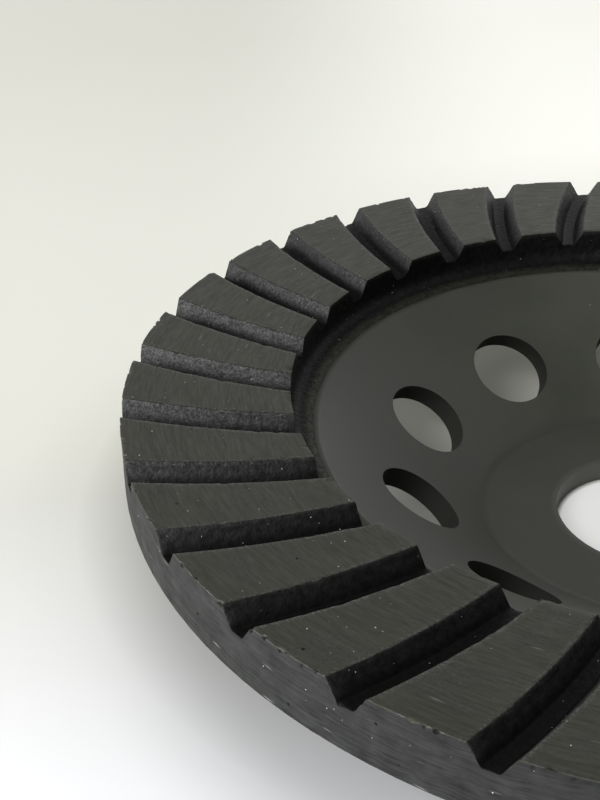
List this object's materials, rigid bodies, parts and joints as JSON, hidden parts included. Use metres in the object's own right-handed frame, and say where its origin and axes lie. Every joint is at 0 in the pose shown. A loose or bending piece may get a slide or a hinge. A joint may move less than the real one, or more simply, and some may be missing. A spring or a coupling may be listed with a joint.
{
  "type": "diamond cup wheel",
  "caption": "Turbo cup grinding wheel for an angle grinder: a shallow pressed steel cup with dust holes and a sintered rim crossed by curved grooves.",
  "frame": {"origin": "on the wheel's axis, at the back face of the hub", "axes": "+Z along the wheel's axis, from the hub's back face towards the grinding face; +X through the centre of a dust hole"},
  "size_m": [0.125, 0.125, 0.0205],
  "materials": {
    "cup_enamel": "thin satin dark grey enamel on pressed steel",
    "sintered_bond": "dark sintered metal bond with grit, ground on its face and rough in its grooves"
  },
  "bodies": {
    "root": {"steel_cup": "cup_enamel", "sintered_rim": "sintered_bond"}
  },
  "joints": []
}
